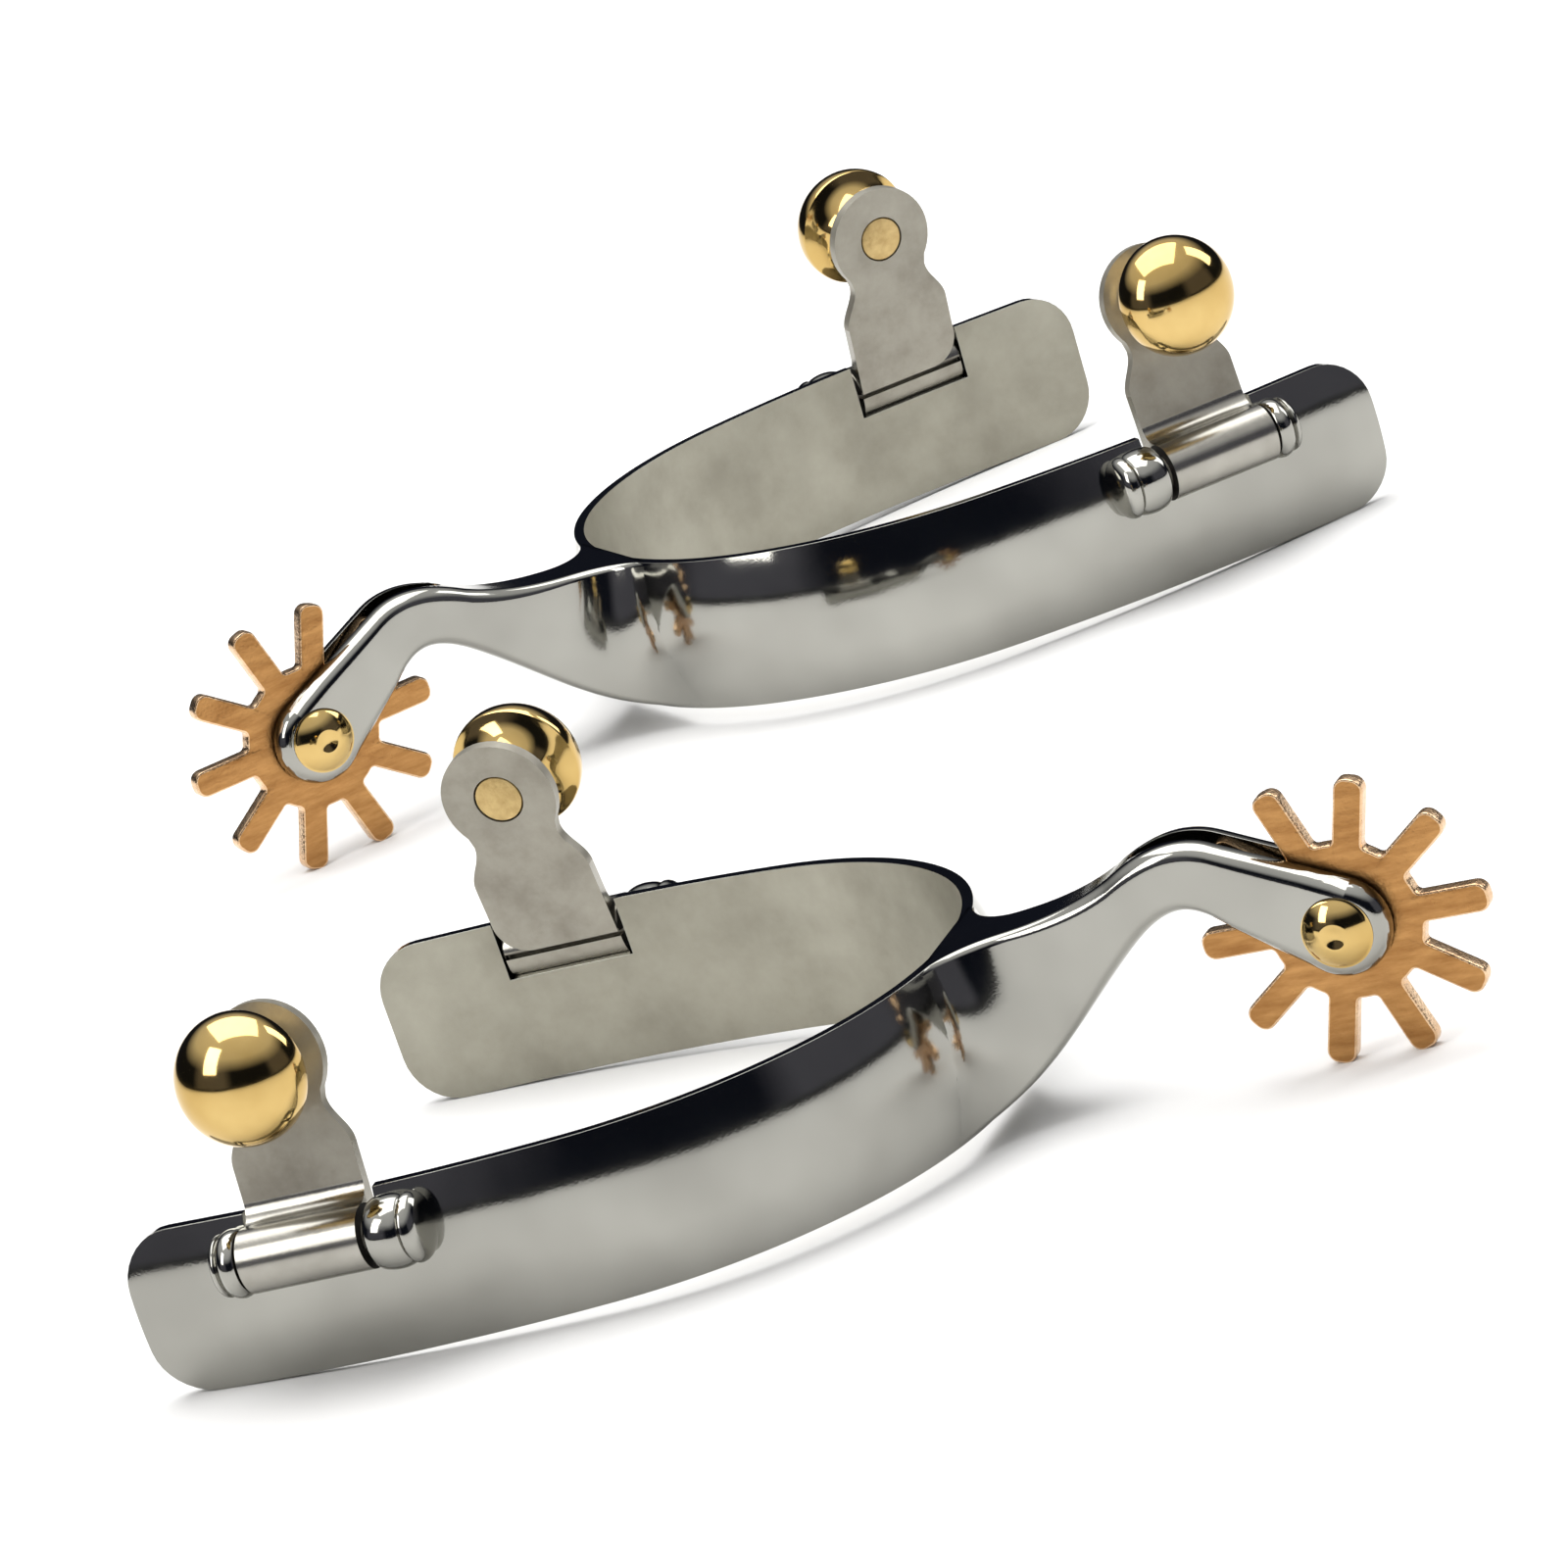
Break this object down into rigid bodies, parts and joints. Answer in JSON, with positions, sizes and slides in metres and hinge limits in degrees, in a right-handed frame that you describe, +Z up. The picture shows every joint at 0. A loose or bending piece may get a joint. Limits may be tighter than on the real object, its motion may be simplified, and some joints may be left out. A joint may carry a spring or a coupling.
{
  "type": "pair of riding spurs",
  "caption": "Pair of Western spurs: polished steel heel bands on gooseneck shanks, free-spinning bronze rowels, hinged strap hangers with domed brass buttons.",
  "frame": {"origin": "on the floor, under the middle of the pair", "axes": "+Z up; +X to the right and +Y away from the viewer of the picture; the left spur points its toe towards +X and the right spur towards -X"},
  "size_m": [0.1933, 0.3376, 0.05],
  "materials": {
    "polished_steel": "mirror polished outside, satin inside",
    "satin_steel": "satin",
    "brass": "polished",
    "bronze": "fine brushed bronze with bright edges"
  },
  "bodies": {
    "left_spur": {"left_heel_band": "polished_steel", "left_shank": "polished_steel", "left_rowel_pin": "brass", "left_outer_hinge_knuckles": "polished_steel", "left_outer_hinge_pin": "satin_steel", "left_inner_hinge_knuckles": "polished_steel", "left_inner_hinge_pin": "satin_steel"},
    "left_rowel_wheel": {"left_rowel": "bronze"},
    "left_outer_strap_hanger": {"left_outer_hanger": "satin_steel", "left_outer_button": "brass"},
    "left_inner_strap_hanger": {"left_inner_hanger": "satin_steel", "left_inner_button": "brass"},
    "right_spur": {"right_heel_band": "polished_steel", "right_shank": "polished_steel", "right_rowel_pin": "brass", "right_outer_hinge_knuckles": "polished_steel", "right_outer_hinge_pin": "satin_steel", "right_inner_hinge_knuckles": "polished_steel", "right_inner_hinge_pin": "satin_steel"},
    "right_rowel_wheel": {"right_rowel": "bronze"},
    "right_outer_strap_hanger": {"right_outer_hanger": "satin_steel", "right_outer_button": "brass"},
    "right_inner_strap_hanger": {"right_inner_hanger": "satin_steel", "right_inner_button": "brass"}
  },
  "joints": [
    {"name": "right_spur_lift", "type": "slide", "parent": "left_spur", "child": "right_spur", "axis": [0, 0, 1], "range_m": [0, 0.12]},
    {"name": "left_rowel_spin", "type": "hinge", "parent": "left_spur", "child": "left_rowel_wheel", "pos_m": [-0.06138, 0.06747, 0.01812], "axis": [-0.3665, 0.9304, 0], "continuous": true},
    {"name": "left_outer_hanger_swing", "type": "hinge", "parent": "left_spur", "child": "left_outer_strap_hanger", "pos_m": [0.03526, 0.16005, 0.01761], "axis": [-0.93, -0.3663, 0.0308], "range_deg": [-45, 108]},
    {"name": "left_inner_hanger_swing", "type": "hinge", "parent": "left_spur", "child": "left_inner_strap_hanger", "pos_m": [0.07244, 0.06566, 0.01761], "axis": [0.93, 0.3663, -0.0308], "range_deg": [-45, 108]},
    {"name": "right_rowel_spin", "type": "hinge", "parent": "right_spur", "child": "right_rowel_wheel", "pos_m": [0.06093, -0.16017, 0.01812], "axis": [-0.4019, -0.9157, 0], "continuous": true},
    {"name": "right_outer_hanger_swing", "type": "hinge", "parent": "right_spur", "child": "right_outer_strap_hanger", "pos_m": [-0.03208, -0.06394, 0.01761], "axis": [-0.9152, 0.4018, -0.0308], "range_deg": [-45, 108]},
    {"name": "right_inner_hanger_swing", "type": "hinge", "parent": "right_spur", "child": "right_inner_strap_hanger", "pos_m": [-0.07286, -0.15684, 0.01761], "axis": [0.9152, -0.4018, 0.0308], "range_deg": [-45, 108]}
  ]
}
